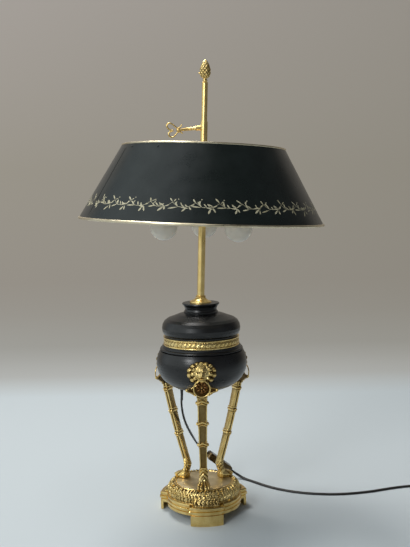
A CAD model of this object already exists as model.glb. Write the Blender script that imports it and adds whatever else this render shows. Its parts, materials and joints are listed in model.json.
# %% [markdown]
# # Dressing a bouillotte lamp
#
# The lamp is a three-legged gilt and black stand with a painted metal shade. Its engineering
# model arrives as a fixed frame: every solid is in its place, grouped into the bodies that
# move. This file adds what an engineer leaves out: chased bronze, worn paint, pearl glass, a
# soft black flex. Each cell first says what the real piece is, then makes it.
#
# Loading comes first, because every later piece takes its place from the frame. The box
# around everything is kept, so that the finished lamp can be compared with it at the end.

# %% Load the frame
import json
import math

import bmesh
import bpy
import numpy as np
from mathutils import Matrix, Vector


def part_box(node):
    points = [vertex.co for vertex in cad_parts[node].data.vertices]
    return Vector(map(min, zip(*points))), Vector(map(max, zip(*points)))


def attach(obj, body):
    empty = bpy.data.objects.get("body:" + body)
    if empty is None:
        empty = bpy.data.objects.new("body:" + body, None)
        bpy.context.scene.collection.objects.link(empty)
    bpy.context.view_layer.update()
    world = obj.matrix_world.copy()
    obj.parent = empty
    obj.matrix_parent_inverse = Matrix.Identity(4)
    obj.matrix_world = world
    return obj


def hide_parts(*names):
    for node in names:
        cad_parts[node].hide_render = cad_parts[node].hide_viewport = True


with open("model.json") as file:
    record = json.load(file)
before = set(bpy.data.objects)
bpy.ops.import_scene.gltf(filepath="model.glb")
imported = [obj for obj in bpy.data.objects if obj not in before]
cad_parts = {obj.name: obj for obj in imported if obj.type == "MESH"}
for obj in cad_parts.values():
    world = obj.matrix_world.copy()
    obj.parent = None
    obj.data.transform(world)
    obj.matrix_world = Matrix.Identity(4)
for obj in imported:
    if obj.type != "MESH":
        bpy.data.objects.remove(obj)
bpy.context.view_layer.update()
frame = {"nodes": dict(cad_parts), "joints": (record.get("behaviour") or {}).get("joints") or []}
NODES = frame["nodes"]
JOINTS = {joint["name"]: joint for joint in frame["joints"]}
MM = 0.001

# %% [markdown]
# Lengths below are in millimetres, because that is how a metalworker thinks of them, and
# they become metres only when a mesh is made. Each joint of the frame gives the line that a
# moving piece turns on, and the box of a solid gives the height at which the next one starts.


# %% Places taken from the frame
class Place:
    """A local frame: an origin in millimetres, and three axes that stand square."""

    def __init__(self, origin, up, right=(1, 0, 0)):
        self.origin = np.array(origin, float)
        self.z = np.array(up, float) / np.linalg.norm(up)
        side = np.array(right, float)
        side = side - self.z * (side @ self.z)
        self.x = side / np.linalg.norm(side)
        self.y = np.cross(self.z, self.x)

    def out(self, points):
        """Local points, as an array whose last axis is x, y, z, carried into the lamp's frame."""
        x, y, z = (np.asarray(points, float)[..., k, None] for k in range(3))
        return self.origin + x * self.x + y * self.y + z * self.z

    def matrix(self):
        """The same frame for an object of Blender's, in metres."""
        matrix = np.eye(4)
        matrix[:3] = np.stack([self.x, self.y, self.z, self.origin * MM], -1)
        return Matrix(matrix.tolist())


def at_leg(turn):
    """The frame of one leg: x runs across it, y inwards to the lamp's axis, z up."""
    angle = math.radians(turn)
    return Place((0, 0, 0), (0, 0, 1), (math.cos(angle), math.sin(angle), 0))


def foot_of(name):
    """Height of a solid's lowest point, in millimetres to a hundredth."""
    return round(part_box(name)[0][2] / MM, 2)


def top_of(name):
    """Height of a solid's highest point, in millimetres to a hundredth."""
    return round(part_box(name)[1][2] / MM, 2)


LEG_TURNS = {"front": 0, "right": 120, "left": 240}
FINIAL_PIVOT = 727
ORIGIN = Place((0, 0, 0), (0, 0, 1))
stem_axis = np.array(JOINTS["finial_turn"]["axis"], float)
STEM = Place(np.array(JOINTS["finial_turn"]["pos_m"]) / MM - FINIAL_PIVOT * stem_axis, stem_axis)
SHADE = Place(np.array(JOINTS["shade_turn"]["pos_m"]) / MM, JOINTS["shade_turn"]["axis"])
print("the stem leans", round(math.degrees(math.acos(STEM.z[2])), 2), "degrees")

# %% [markdown]
# A portrait starts with the camera. It stands a little above the lamp's middle, looks slightly
# down, and is tilted by a degree, as a camera held by hand is. A lens of 52.65 mm on a
# 36 mm frame gives the slight narrowing towards the base.

# %% Camera
CAMERA_AT = (8, -1333, 537)
CAMERA_DOWN = math.radians(5.53)
CAMERA_ROLL = math.radians(0.95)
LENS = 52.65

level = np.array([1.0, 0, 0])
steep = np.array([0, math.sin(CAMERA_DOWN), math.cos(CAMERA_DOWN)])
right = math.cos(CAMERA_ROLL) * level - math.sin(CAMERA_ROLL) * steep
upward = math.sin(CAMERA_ROLL) * level + math.cos(CAMERA_ROLL) * steep
camera_data = bpy.data.cameras.new("camera")
camera_data.lens = LENS
camera_data.clip_start = 0.01
camera = bpy.data.objects.new("camera", camera_data)
camera.matrix_world = Place(CAMERA_AT, np.cross(right, upward), right).matrix()
bpy.context.scene.collection.objects.link(camera)
bpy.context.scene.camera = camera
print("camera at", CAMERA_AT, "mm")

# %% [markdown]
# Every new piece is a grid of points, worked out whole with numpy: a surface is a function
# of two numbers, and its faces join neighbours on the grid. Where a row of the grid shrinks
# to one point, as at a pole, or where two edges meet, the doubled points are welded.


# %% From grids to meshes
WELD = 0.002


def grid_faces(rows, columns, wrap_rows, wrap_columns):
    """Four-cornered faces between neighbouring points of a grid, as point numbers."""
    r, c = np.meshgrid(
        np.arange(rows if wrap_rows else rows - 1),
        np.arange(columns if wrap_columns else columns - 1),
        indexing="ij",
    )
    below = ((r + 1) % rows) * columns
    beside = (c + 1) % columns
    return np.stack([r * columns + c, r * columns + beside, below + beside, below + c], -1).reshape(-1, 4)


class Sheet:
    """A grid of points, with what varies over it: hollow, from 0 to 1, and a finish number."""

    def __init__(self, points, wrap=(False, True), flip=False, hollow=0.0, finish=0):
        self.points = np.asarray(points, float)
        self.wrap = wrap
        self.flip = flip
        self.hollow = np.broadcast_to(hollow, self.points.shape[:2]).astype(float)
        self.finish = np.broadcast_to(finish, self.points.shape[:2])

    def faces(self):
        """Its faces, as numbers of its points row by row."""
        rows, columns = self.points.shape[:2]
        faces = grid_faces(rows, columns, *self.wrap)
        return faces[:, ::-1] if self.flip else faces


def make_piece(name, body, finishes, sheets, place=ORIGIN, closed=True, sharp=None):
    """One object from its sheets: welded, smooth up to a sharp angle in degrees, and riding.
    Where its sheets are closed forms, their faces are turned outwards."""
    points = np.concatenate([place.out(sheet.points).reshape(-1, 3) for sheet in sheets])
    hollow = np.concatenate([sheet.hollow.ravel() for sheet in sheets])
    finish = np.concatenate([sheet.finish.ravel() for sheet in sheets]).astype(int)
    starts = np.cumsum([0] + [sheet.hollow.size for sheet in sheets])
    faces = np.concatenate([sheet.faces() + start for sheet, start in zip(sheets, starts)])
    mesh = bpy.data.meshes.new(name)
    mesh.from_pydata((points * MM).tolist(), [], faces.tolist())
    mesh.attributes.new("hollow", "FLOAT", "POINT").data.foreach_set("value", hollow.astype(np.float32))
    for item in finishes:
        mesh.materials.append(item)
    mesh.polygons.foreach_set("material_index", finish[faces[:, 0]].astype(np.int32))
    mesh.polygons.foreach_set("use_smooth", np.ones(len(faces), bool))
    work = bmesh.new()
    work.from_mesh(mesh)
    bmesh.ops.remove_doubles(work, verts=work.verts, dist=WELD * MM)
    if closed:
        bmesh.ops.recalc_face_normals(work, faces=work.faces)
    work.to_mesh(mesh)
    work.free()
    if sharp:
        mesh.set_sharp_from_angle(angle=math.radians(sharp))
    piece = bpy.data.objects.new(name, mesh)
    bpy.context.scene.collection.objects.link(piece)
    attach(piece, body)
    print(name, len(mesh.vertices), "points", len(mesh.polygons), "faces")
    return piece


print("a tube of 3 rings of 4 points has", len(grid_faces(3, 4, False, True)), "faces")

# %% [markdown]
# Two kinds of grid make most pieces. A lathe-turned form is a profile carried round an axis. A
# cable or a bent wire is a section carried along a path, and the path is a smooth curve
# through a few points chosen by hand.


# %% Turned and swept forms
def circle(count):
    """Angles of count points evenly round a circle."""
    return 2 * math.pi * np.arange(count) / count


def grid(x, y, z):
    """Grid of points. Each coordinate may vary over the rows, over the columns or over both."""
    return np.stack(np.broadcast_arrays(x, y, z), -1).astype(float)


def spokes(angle):
    """Cosine and sine of each angle, as points on a circle."""
    return np.stack([np.cos(angle), np.sin(angle)], -1)


def polar(radius, angle, height):
    """Grid of points at a radius and an angle round the z axis, and at a height."""
    return grid(radius * np.cos(angle), radius * np.sin(angle), height)


def turned(profile, count=96):
    """Grid of a lathe-turned form: each (radius, height) of the profile is carried round."""
    profile = np.asarray(profile, float)
    return polar(profile[:, :1], circle(count)[None, :], profile[:, 1:2])


def ball(at, radius, rows=10, count=16):
    """Grid of a ball: a half circle from pole to pole, carried round."""
    return turned(radius * spokes(np.linspace(-math.pi / 2, math.pi / 2, rows)), count) + at


def smooth_line(points, steps):
    """A smooth curve through the given points: a cubic between each two, steps to each."""
    points = np.asarray(points, float)
    before = points[np.maximum(np.arange(len(points) - 1) - 1, 0)]
    start = points[:-1]
    end = points[1:]
    after = points[np.minimum(np.arange(len(points) - 1) + 2, len(points) - 1)]
    t = (np.arange(steps) / steps)[None, :, None]
    curve = 0.5 * (
        2 * start[:, None]
        + (end - before)[:, None] * t
        + (2 * before - 5 * start + 4 * end - after)[:, None] * t**2
        + (3 * start - before - 3 * end + after)[:, None] * t**3
    )
    return np.concatenate([curve.reshape(-1, points.shape[1]), points[-1:]])


def along(path):
    """Unit tangents of a path, and the distance from its start to each point."""
    tangent = np.gradient(path, axis=0)
    tangent /= np.linalg.norm(tangent, axis=1)[:, None]
    steps = np.linalg.norm(np.diff(path, axis=0), axis=1)
    return tangent, np.concatenate([[0], np.cumsum(steps)])


def ends_closed(points):
    """The grid with one more row at each end, all of it at the middle of the row beside it."""
    first, last = (np.repeat(row.mean(0)[None, None], len(row), 1) for row in (points[0], points[-1]))
    return np.concatenate([first, points, last])


def swept(path, section, side):
    """A section carried along a path. The section's first number is measured square to side
    and to the path, and its second along the third direction. Its ends close to a point."""
    tangent = along(path)[0]
    wide = np.cross(np.broadcast_to(side, tangent.shape), tangent)
    wide /= np.linalg.norm(wide, axis=1)[:, None]
    deep = np.cross(tangent, wide)
    spread_out = section[..., :1] * wide[:, None] + section[..., 1:] * deep[:, None]
    return ends_closed(path[:, None] + spread_out)


def closed_sheet(points, hollow):
    """A sheet that closes to a point at each end, as hollow there as the row beside it."""
    return Sheet(ends_closed(points), hollow=np.pad(hollow, ((1, 1), (0, 0)), "edge"))


def wire(path, radii, side, count, hollow=0.0):
    """A round wire along a path, with a radius for each of the path's points."""
    rings = spokes(circle(count)) * radii[:, None, None]
    return Sheet(swept(path, rings, side), hollow=hollow)


print("a ball is a grid of", ball((0, 0, 0), 1).shape[:2], "points")

# %% [markdown]
# Chased metal is raised and cut with a few punches. Three curves do their work here: a smooth
# step for an edge, a bell for a ridge or a groove, and a hill for anything round.


# %% Steps, bells and hills
def step(low, high, value):
    """Rises smoothly from 0 to 1 as value goes from low to high."""
    t = np.clip((value - low) / (high - low), 0, 1)
    return t * t * (3 - 2 * t)


def bell(value, middle, width):
    """A bell curve, 1 high: e to the minus square of how many widths value is off the middle."""
    return np.exp(-(((value - middle) / width) ** 2))


def hill(x, y, at, size):
    """A round hill, 1 high, at a point, with half widths size along x and y."""
    return bell(x, at[0], size[0]) * bell(y, at[1], size[1])


print("one width off its middle a bell is", round(float(bell(1, 0, 1)), 3), "high")

# %% [markdown]
# The flex is an ordinary flat twin cable, 6 mm wide and 3.4 mm thick, with a groove on each
# side where its two cores part. It leaves the urn through a bushing, hangs down behind the
# legs to an inline switch, and then lies on the table. A lamp like this has about 1.8 m of
# it, so what isn't needed is wound into a neat coil of flat turns beside the plug.
#
# A cable has one length and no stretch, so its middle line is drawn first: the free
# stretches are smooth curves through points chosen by hand, and the coil is a rule. Lane by
# lane it winds inwards on the table, climbs, and winds outwards on top. Each change of lane
# ends before a turn does, so that neighbouring turns never press into each other.

# %% The line of the flex
FLEX_W = 6.0
FLEX_T = 3.4
ON_TABLE = FLEX_T / 2
UPPER_ROUTE = [
    (-35, 9, 204), (-36, 12, 192), (-36, 18, 178), (-34.5, 27, 162), (-32, 38, 147),
    (-28.5, 51.5, 132.5), (-24.5, 66, 119), (-20.5, 82, 106), (-17, 98, 94.5),
    (-13.5, 112.5, 83.5), (-8.5, 125, 73), (-2, 134.5, 63), (6, 140, 53.5),
]
LYING = [(86, 131.5), (96, 121), (108, 108), (122, 95), (140, 82), (160, 71), (180, 63.5), (203, 58),
         (232, 55), (262, 57), (299, 65), (333, 77), (362, 86), (393, 91), (421, 91.2)]
LOWER_ROUTE = [
    (51.5, 149, 16.5), (59, 149, 10.8), (66, 146.8, 6.6), (72.5, 142.8, 3.6), (79, 137.8, 2.2),
    *((x, y, ON_TABLE) for x, y in LYING),
]
ROUTE_STEPS = 6
SWITCH_STEPS = 12
COIL_AT = (437, 130)
LANES = (39, 33, 27, 27, 33, 39)
TO_PLUG = [(476, 134, 5.3), (476, 140, 6.3), (476, 146, 6.8)]
PLUG_STEPS = 4


def lane_change(number, turn):
    """Rises from 0 to 1 in the last third of the turn of that number."""
    return step(number - 0.35, number - 0.05, turn)


def coil_line(points_per_turn=48, turns=5.25):
    """The coil's middle line. Its radius steps from lane to lane in the last third of each
    turn, and its height rises by one thickness while it is in the innermost lane."""
    turn = np.arange(0, turns + 1e-9, 1 / points_per_turn)
    radius = float(LANES[0])
    for k in range(1, len(LANES)):
        radius = radius + (LANES[k] - LANES[k - 1]) * lane_change(k, turn)
    height = ON_TABLE + FLEX_T * lane_change(3, turn)
    return polar(radius, 2 * math.pi * turn - math.pi / 2, height) + [*COIL_AT, 0]


coil = coil_line()
flex_line = np.concatenate([
    smooth_line(UPPER_ROUTE, ROUTE_STEPS),
    np.linspace(UPPER_ROUTE[-1], LOWER_ROUTE[0], SWITCH_STEPS)[1:-1],
    smooth_line(np.concatenate([LOWER_ROUTE, coil[:2]]), ROUTE_STEPS)[: -ROUTE_STEPS - 1],
    coil,
    smooth_line(np.concatenate([coil[-2:], TO_PLUG]), PLUG_STEPS)[PLUG_STEPS + 1 :],
])
FLEX_LENGTH = along(flex_line)[1][-1]
print("the flex is", round(FLEX_LENGTH / 1000, 3), "m long, in", len(flex_line), "points")

# %% [markdown]
# A finish is a recipe for how a surface meets light. Its numbers are written here as plain
# sums: a small class wraps a link of a material, so that an expression such as
# 1 - mask * 0.5 adds the Math nodes by itself. Every other node is added by one method.


# %% Writing materials as sums
class Value:
    """A link that carries a number, a colour or a vector. Sums on numbers add Math nodes."""

    def __init__(self, finish, socket):
        self.finish = finish
        self.socket = socket

    def sum(self, operation, first, second):
        """One Math node, fed with two numbers or links."""
        return self.finish.node("ShaderNodeMath", {0: first, 1: second}, operation=operation)

    def __add__(self, other):
        return self.sum("ADD", self, other)

    def __sub__(self, other):
        return self.sum("SUBTRACT", self, other)

    def __rsub__(self, other):
        return self.sum("SUBTRACT", other, self)

    def __mul__(self, other):
        return self.sum("MULTIPLY", self, other)

    def larger(self, other):
        """The larger of two numbers."""
        return self.sum("MAXIMUM", self, other)

    def clipped(self):
        """The same number, kept between 0 and 1."""
        return self.sum("MINIMUM", self.larger(0.0), 1.0)

    def beside(self, output):
        """Another output of the same node."""
        return Value(self.finish, self.socket.node.outputs[output])

    __radd__ = __add__
    __rmul__ = __mul__


class Finish:
    """A material or a world in the making. Its shader is the one that a new one has."""

    def __init__(self, material, shader="Principled BSDF", **constants):
        material.use_nodes = True
        self.material = material
        self.tree = material.node_tree
        self.shader = self.tree.nodes[shader]
        self.feed(**constants)

    def set(self, socket, value):
        """Links a value to a socket, or sets the socket where the value is a constant."""
        if isinstance(value, Value):
            self.tree.links.new(value.socket, socket)
        else:
            socket.default_value = value

    def node(self, kind, values=None, output=0, stops=None, **settings):
        """Adds one node: first its settings and a ramp's stops, then its sockets' values."""
        node = self.tree.nodes.new(kind)
        for name, setting in settings.items():
            setattr(node, name, setting)
        if stops:
            ramp = node.color_ramp
            while len(ramp.elements) < len(stops):
                ramp.elements.new(0.5)
            for element, (position, colour) in zip(ramp.elements, stops):
                element.position = position
                element.color = (*colour, 1.0)
        for socket, value in (values or {}).items():
            self.set(node.inputs[socket], value)
        return Value(self, node.outputs[output])

    def place(self):
        """Where a point lies on the piece, in metres."""
        return self.node("ShaderNodeTexCoord", output="Object")

    def noise(self, scale, detail, rough):
        """Smooth cloudy numbers around 0.5, scale of them to a metre."""
        sockets = {"Vector": self.place(), "Scale": scale, "Detail": detail, "Roughness": rough}
        return self.node("ShaderNodeTexNoise", sockets)

    def spread(self, value, low, high, to_low=0.0, to_high=1.0):
        """A number's span from low to high, carried to the span from to_low to to_high."""
        return self.node("ShaderNodeMapRange", {0: value, 1: low, 2: high, 3: to_low, 4: to_high})

    def mix(self, share, first, second):
        """One colour where share is 0, the other where it is 1."""
        first = first if isinstance(first, Value) else (*first, 1.0)
        second = second if isinstance(second, Value) else (*second, 1.0)
        return self.node("ShaderNodeMix", {0: share, 6: first, 7: second}, output=2, data_type="RGBA")

    def bump(self, height, depth):
        """Small relief, depth millimetres for a height from 0 to 1."""
        return self.node("ShaderNodeBump", {"Height": height, "Distance": depth * MM, "Strength": 1.0})

    def feed(self, **links):
        """Sets the shader's sockets by name. What varies is linked."""
        for socket, value in links.items():
            self.set(self.shader.inputs[socket.replace("_", " ")], value)
        return self.material


def paint_node(material, *names):
    """Gives the frame's solids their finish."""
    for name in names:
        mesh = NODES[name].data
        mesh.materials.clear()
        mesh.materials.append(material)
    print(material.name, "on", ", ".join(names))


# %% [markdown]
# Gilt bronze is brass-coloured metal, chased and burnished. The high parts are rubbed bright,
# and the hollows keep a brown residue of the gilding, which is what makes cast ornament
# readable. So the colour runs from dark brown to gold with the piece's own "hollow" number,
# a little cloudiness breaks it up, and a fine bump keeps mirror lines from being perfect.


# %% Metals
def gilding(name, bright, dull, dark, rough, wear=0.25, grain=0.02):
    """Gilt metal: colours of its rubbed heights, of its plain skin and of its hollows."""
    finish = Finish(bpy.data.materials.new(name), Metallic=1.0)
    cloud = finish.noise(60, 4, 0.6)
    fine = finish.noise(420, 3, 0.6)
    hollow = finish.node("ShaderNodeAttribute", output="Fac", attribute_name="hollow")
    skin = finish.mix(finish.spread(cloud, 0.35, 0.68), dull, bright)
    deep = (hollow + (fine - 0.5) * wear).clipped()
    colour = finish.mix(deep, skin, dark)
    roughness = rough + deep * 0.35 + (cloud - 0.5) * 0.16
    return finish.feed(Base_Color=colour, Roughness=roughness, Normal=finish.bump(fine, grain))


GILT = gilding("gilt_bronze", (0.95, 0.72, 0.31), (0.70, 0.48, 0.16), (0.07, 0.036, 0.010), 0.19,
               grain=0.03)
BRUSHED = gilding("gilt_brushed", (0.74, 0.63, 0.41), (0.55, 0.45, 0.26), (0.12, 0.08, 0.04), 0.42)
CHASED = gilding("gilt_chased", (0.98, 0.76, 0.34), (0.72, 0.50, 0.17), (0.05, 0.025, 0.006), 0.17,
                 0.7, 0.3)
BRASS = gilding("polished_brass", (0.92, 0.68, 0.28), (0.78, 0.54, 0.19), (0.14, 0.08, 0.03), 0.3,
                0.1, 0.006)
ROSETTE = gilding("dark_rosette", (0.24, 0.12, 0.04), (0.16, 0.075, 0.025), (0.03, 0.015, 0.006), 0.3)
RIM_GILT = gilding("rim_gilt", (0.80, 0.71, 0.52), (0.62, 0.53, 0.36), (0.22, 0.17, 0.10), 0.3)

# %% [markdown]
# The urn is bronze under a black patina: nearly black, with a satin skin that catches broad
# soft lights. Fine scratches and a cloudy roughness keep those lights from being flat.


# %% Dark finishes
def patina(name, colour, worn, rough, grain):
    """Dark satin skin, cloudy in its gloss, with fine wear."""
    finish = Finish(bpy.data.materials.new(name))
    cloud = finish.noise(35, 5, 0.6)
    fine = finish.noise(900, 2, 0.7)
    base = finish.mix(finish.spread(cloud, 0.45, 0.75), colour, worn)
    roughness = rough + (cloud - 0.5) * 0.18 + (fine - 0.5) * 0.08
    return finish.feed(Base_Color=base, Roughness=roughness, Normal=finish.bump(fine, grain))


BLACK = patina("black_patina", (0.003, 0.003, 0.003), (0.008, 0.0075, 0.007), 0.29, 0.004)
PLASTIC = patina("black_plastic", (0.012, 0.012, 0.013), (0.018, 0.018, 0.019), 0.45, 0.01)
FLEX = patina("flex_black", (0.008, 0.007, 0.006), (0.015, 0.013, 0.012), 0.42, 0.01)
STEEL = gilding("steel", (0.60, 0.60, 0.60), (0.48, 0.48, 0.48), (0.10, 0.09, 0.08), 0.3)
TIN = gilding("bulb_metal", (0.80, 0.79, 0.76), (0.68, 0.67, 0.64), (0.20, 0.19, 0.18), 0.3)
PORCELAIN = patina("porcelain", (0.82, 0.79, 0.70), (0.76, 0.72, 0.62), 0.2, 0.002)
SWITCH_GOLD = gilding("switch_gold", (0.15, 0.10, 0.045), (0.035, 0.025, 0.015), (0.02, 0.012, 0.005),
                      0.25)
print("metals and dark finishes are mixed")

# %% [markdown]
# The flex's outline is a figure of eight, flattened: two round cores under one skin. Carried
# along the middle line it becomes the cable. The hanging stretch stands on edge, and turns
# flat on its way into the switch.

# %% The flex itself
SECTION_POINTS = 20
HANGING = (len(UPPER_ROUTE) - 1) * ROUTE_STEPS + 1


def flex_section():
    """Twin outline: each half bulges round one core, and a groove runs between them."""
    angle = circle(SECTION_POINTS)
    x = 1.3 * np.tanh(4 * np.cos(angle)) + 1.7 * np.cos(angle)
    groove = 1 - 0.32 * bell(x, 0, 0.7)
    return np.stack([x * FLEX_W / 6, np.sin(angle) * groove * FLEX_T / 2], -1)


turn_flat = np.ones(len(flex_line))
turn_flat[:HANGING] = np.linspace(0, 1, HANGING) ** 3
flex_side = np.stack([1 - turn_flat, 0 * turn_flat, turn_flat], -1)
flex = make_piece(
    "flex", "stand", [FLEX], [Sheet(swept(flex_line, flex_section(), flex_side))]
)
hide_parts("cord_upper", "cord_lower", "cord_coil")

# %% [markdown]
# Where the cable leaves the urn a soft sleeve keeps it from being bent sharply: wide at the
# bushing's flange, and tapering in 20 mm to hardly more than the cable itself.

# %% Bushing with its tapered sleeve
# Height under the bowl, then half widths across the flex's thickness and along its width
SLEEVE = [
    (-23, 0, 0), (-23, 1.8, 3.1), (-22.6, 1.95, 3.4), (-16, 2.1, 3.6), (-9, 2.4, 3.8), (-3.4, 2.8, 4.1),
    (-3.2, 3.4, 4.6), (-3, 6.0, 6.0), (-2.6, 6.8, 6.8), (-0.6, 6.8, 6.8), (0, 6.6, 6.6), (0, 0, 0),
]
sleeve_z, sleeve_x, sleeve_y = np.array(SLEEVE).T[..., None]
sleeve_ring = circle(40)
sleeve = grid(sleeve_x * np.cos(sleeve_ring), sleeve_y * np.sin(sleeve_ring), sleeve_z)
bushing_piece = make_piece("cord_sleeve", "stand", [PLASTIC],
                           [Sheet(sleeve + [*UPPER_ROUTE[0][:2], foot_of("urn_bowl")])])
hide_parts("cord_bushing")

# %% [markdown]
# The pieces on it are named with it: the sleeve, the switch, the plug and the wire tie on
# the coil.

np.array(UPPER_ROUTE[0]) * MM
paint_node(SWITCH_GOLD, "switch_base", "switch_cover")
paint_node(PLASTIC, "switch_rocker", "coil_tie", "plug_body")
paint_node(STEEL, "plug_pins", "switch_screws")

# %% [markdown]
# Turned and sawn parts keep the shapes that engineering gave them. They only need a finish:
# gilt for the castings, polished brass for the lathe-turned stem and its fittings, black
# patina for the urn, and plain steel for screws that nobody sees.

# %% Plain solids
paint_node(GILT, "base_plinth", "ring_front", "ring_right", "ring_left", "ring_eyes")
paint_node(BLACK, "urn_bowl", "urn_cover")
paint_node(BRASS, "stem_tube", "cluster_body", "cluster_cap", "arm_front_right", "arm_back",
           "arm_front_left", "socket_front_right", "socket_back", "socket_front_left", "upper_rod",
           "sleeve", "shade_seat", "spider", "tie_washer", "tie_nut")
paint_node(STEEL, "plinth_screws", "leg_screws", "mask_screws", "tie_tube")
paint_node(TIN, "bulb_caps")
paint_node(PORCELAIN, "socket_cores")

# %% [markdown]
# A turned collar stands on the urn's cover: a round foot, a hollow cone and a small ring. It
# is a closed profile with the stem's bore left open, carried round the stem's axis.

# %% Collar
COLLAR_Z = top_of("urn_cover")
COLLAR = [(16.4, -2.0), (17.6, -1.6), (18.2, -0.5), (18.2, 1.0), (17.5, 2.3), (16.2, 2.9), (15.3, 3.0),
          (14.6, 3.5), (12.2, 4.6), (10.0, 6.2), (8.5, 8.2), (7.7, 9.8), (8.3, 10.3), (8.5, 11.0),
          (8.0, 11.7), (6.15, 11.8), (6.15, -2.0), (16.4, -2.0)]
collar = make_piece(
    "turned_collar", "stand", [BRASS], [Sheet(turned(COLLAR) + [0, 0, COLLAR_Z])],
    STEM, sharp=50,
)
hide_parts("collar")

# %% [markdown]
# The key that clamps the sleeve is a short turned shank whose wing is bent from thick wire:
# two lobes that meet at a point, as in a heart, with tails that curl away from the shank. Bent
# by hand, they aren't quite alike. Each is a smooth curve through points beside the shank.

# %% Key
KEY_Z = 649.5
KEY_DROOP = math.radians(7)
KEY = Place(
    STEM.out([0, 0, KEY_Z]),
    STEM.z * math.cos(KEY_DROOP) - STEM.x * math.sin(KEY_DROOP),
    -STEM.x * math.cos(KEY_DROOP) - STEM.z * math.sin(KEY_DROOP),
)
SHANK = [(0, 5.2), (1.9, 5.2), (1.9, 13.05), (3.9, 13.1), (4.2, 13.5), (4.0, 14.2), (3.1, 14.6),
         (2.9, 15.4), (2.2, 40.0), (2.6, 41.0), (2.6, 43.5), (2.0, 45.0), (0, 46.2)]
UPPER_LOBE = [(52.1, 0.0), (55.5, 1.4), (59.0, 4.1), (60.8, 8.5), (59.3, 11.7), (56.0, 12.8),
              (51.8, 10.8), (48.2, 7.2), (44.5, 3.9), (41.1, 3.5), (38.4, 5.2), (36.8, 7.5)]
LOWER_LOBE = [(52.1, 0), (56.7, -1.6), (59.0, -4.3), (58.4, -7.9), (55.0, -10.4), (51.1, -9.7),
              (47.9, -7.0), (44.9, -4.0), (41.7, -2.9), (38.9, -3.8), (37.0, -5.6)]
shank = turned(SHANK, 40)[..., [2, 1, 0]]
key_sheets = [Sheet(shank), Sheet(ball((52.0, 0, 0), 1.7))]
for lobe in (UPPER_LOBE, LOWER_LOBE):
    line = smooth_line([(x, 0, z) for x, z in lobe], 5)
    key_sheets.append(wire(line, np.linspace(1.45, 1.0, len(line)), (0, 1, 0), 14))
    key_sheets.append(Sheet(ball(line[-1], 1.35)))
key = make_piece("wing_key", "key", [BRASS], key_sheets, KEY, sharp=40)
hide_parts("key_screw")

# %% [markdown]
# The bulbs are pearl glass: a ball that narrows to a neck, blown thin and etched inside. Each
# is a closed shell with an outer and an inner skin, 0.8 mm apart.

# %% Bulbs
BULB_Z = 486.5
LAMP_CIRCLE = 70
BULB_R, GLASS_THICK = 22.5, 0.81
NECK = [(12.4, 20.2), (10.2, 23.0), (8.8, 25.6), (8.25, 27.2), (8.2, 28.5)]
pearl = Finish(bpy.data.materials.new("bulb_glass"), Roughness=0.3, IOR=1.45, Transmission_Weight=0.45)
PEARL = pearl.feed(Base_Color=pearl.mix(pearl.noise(30, 3, 0.5), (0.95, 0.87, 0.74), (1.0, 0.95, 0.86)))
skin_out = np.concatenate([BULB_R * spokes(np.radians(np.linspace(-90, 48, 22))), NECK])
skin_in = skin_out[::-1] * (1 - GLASS_THICK / BULB_R) + [0, 0.05]
skin_in[0] = (7.4, 28.5)
bulb_loop = turned(np.concatenate([skin_out, skin_in]), 64)
for side, turn in (("front_right", 57), ("back", 177), ("front_left", 297)):
    out = LAMP_CIRCLE * np.array([math.sin(math.radians(turn)), -math.cos(math.radians(turn)), 0])
    bulb = make_piece("glass_" + side, "stand", [PEARL],
                      [Sheet(bulb_loop + out + [0, 0, BULB_Z])], STEM)
    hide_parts("bulb_" + side)

# %% [markdown]
# The shade is a cone of thin painted sheet with a rolled gilt edge above and below. Seen
# close, three things make it real: the paint's uneven satin, the lapped seam where the sheet
# was closed, and a second, pale paint inside. It is one closed profile carried round the
# shade's own axis, with one finish outside and another inside. The rivets that hold the
# spider's arms were painted over with the sheet.

# %% The painted cone
SHADE_TOP = (134, 12)
SHADE_LOW = (201.5, -108)
SHADE_SLOPE = math.dist(SHADE_LOW, SHADE_TOP)
SHADE_COLUMNS = 192
SHEET_THICK = 0.8
SLANT = math.atan2(SHADE_LOW[0] - SHADE_TOP[0], SHADE_TOP[1] - SHADE_LOW[1])
SHEET_LEVEL = SHEET_THICK / math.cos(SLANT)
PAINT = patina("shade_paint", (0.0045, 0.0085, 0.0075), (0.008, 0.013, 0.012), 0.3, 0.004)
PAINT_INSIDE = patina("shade_inside", (0.60, 0.58, 0.52), (0.66, 0.64, 0.58), 0.6, 0.004)


def cone_point(azimuth, down, lift=0.0):
    """A point on the cone: azimuth in degrees from the front, distance in millimetres down the
    slope from the upper rim, and lift square to the sheet."""
    radius = SHADE_TOP[0] + down * math.sin(SLANT) + lift * math.cos(SLANT)
    height = SHADE_TOP[1] - down * math.cos(SLANT) + lift * math.sin(SLANT)
    return polar(radius, np.radians(azimuth - 90), height)


outside = np.linspace(SHADE_LOW, SHADE_TOP, 13)
shade_loop = np.concatenate([outside, outside[::-1] - [SHEET_LEVEL, 0], outside[:1]])
inside_rows = np.arange(len(shade_loop))[:, None] >= len(outside)
shade_piece = make_piece(
    "shade_sheet", "shade", [PAINT, PAINT_INSIDE],
    [Sheet(turned(shade_loop, SHADE_COLUMNS), finish=inside_rows)], SHADE, sharp=30,
)
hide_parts("shade_cone")
paint_node(PAINT, "spider_rivets")


def edge_bead(name, rim, bead):
    """A rolled edge: a ring of round section, centred on the sheet's edge."""
    profile = bead * spokes(circle(14)) + rim - [SHEET_LEVEL / 2, 0]
    sheet = Sheet(turned(profile, SHADE_COLUMNS), (True, True))
    piece = make_piece(name, "shade", [RIM_GILT], [sheet], SHADE)
    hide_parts("shade_" + name)


edge_bead("top_rim", SHADE_TOP, 1.7)
edge_bead("low_rim", SHADE_LOW, 2.1)

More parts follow.
